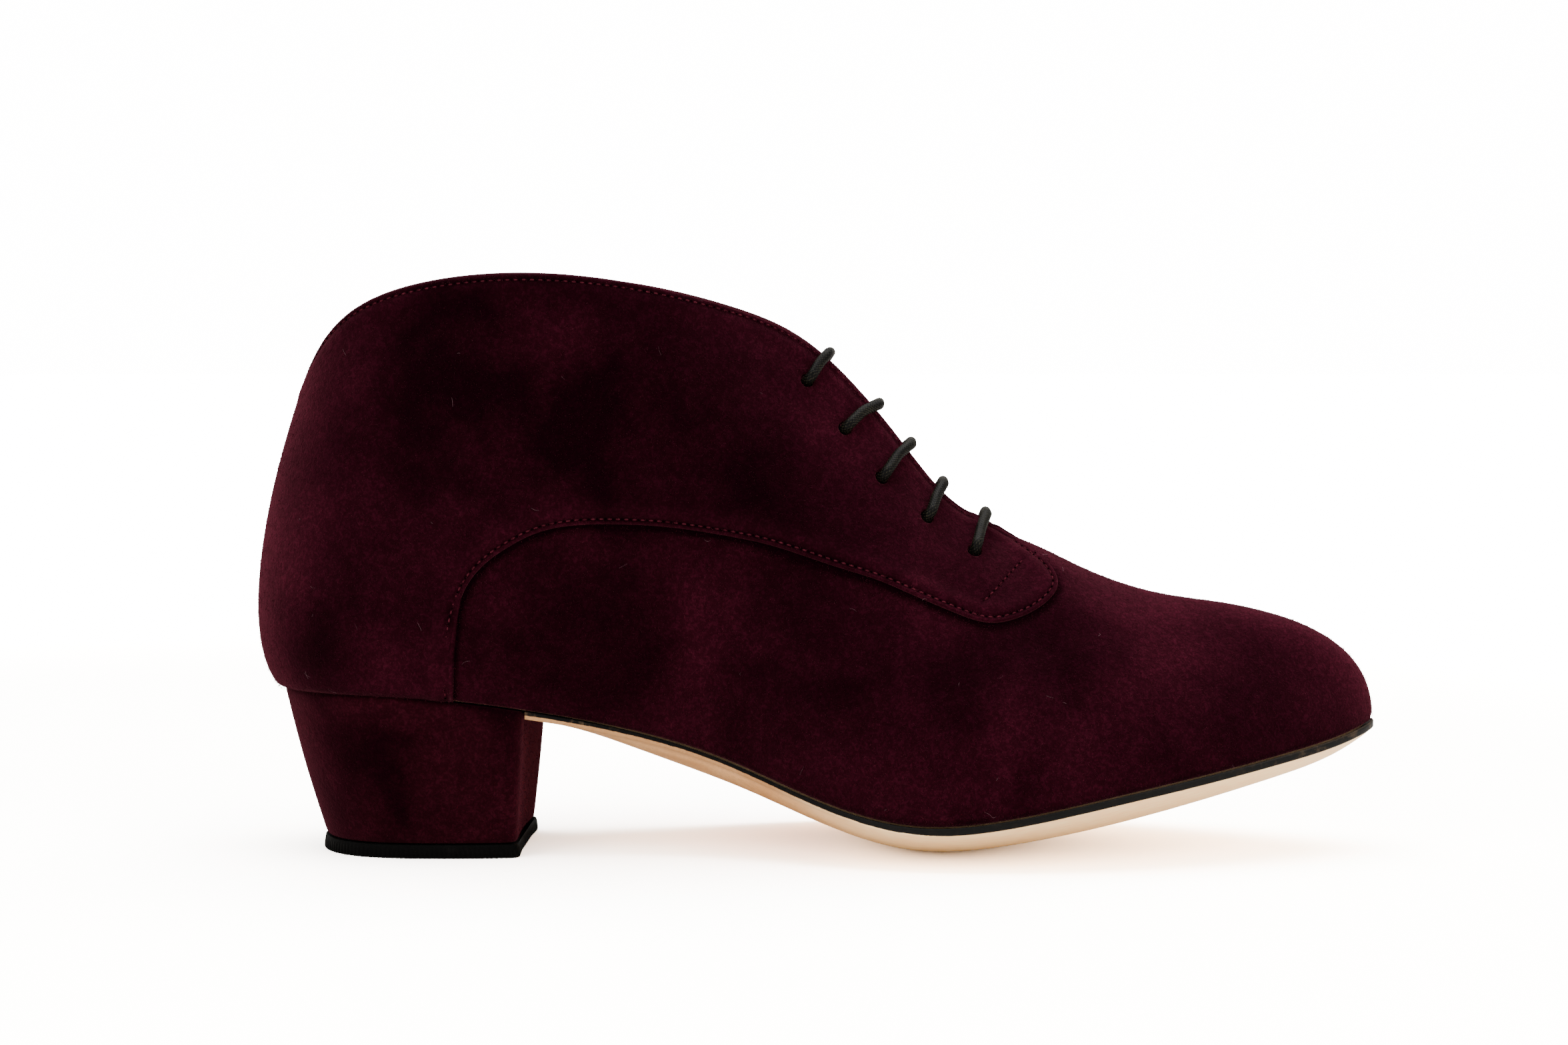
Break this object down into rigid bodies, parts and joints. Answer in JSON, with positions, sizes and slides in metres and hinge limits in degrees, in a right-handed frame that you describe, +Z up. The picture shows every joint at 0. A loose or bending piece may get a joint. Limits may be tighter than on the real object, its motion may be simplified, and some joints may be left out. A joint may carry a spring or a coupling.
{
  "type": "dance practice shoe",
  "caption": "Low ankle-cut laced dance practice shoe in dark burgundy suede, left foot, with a leather sole raised at the toe and a covered block heel.",
  "frame": {"origin": "middle of the heel tip's face on the floor", "axes": "+X from heel to toe along the floor, +Z up, -Y the inner side of the foot"},
  "size_m": [0.2522, 0.0773, 0.1294],
  "materials": {
    "suede": "dark burgundy suede with a mottled nap",
    "lining": "matt natural lining leather",
    "sole_leather": "natural tan sole leather, smoother and paler at the forefoot, black painted edge",
    "tip_rubber": "black, ribbed edge",
    "lace_cord": "round waxed braid"
  },
  "bodies": {
    "root": {"upper": "suede", "quarters": "suede", "tongue": "suede", "lace": "lace_cord", "insole": "lining", "outsole": "sole_leather", "heel": "suede", "heel_tip": "tip_rubber"}
  },
  "joints": []
}
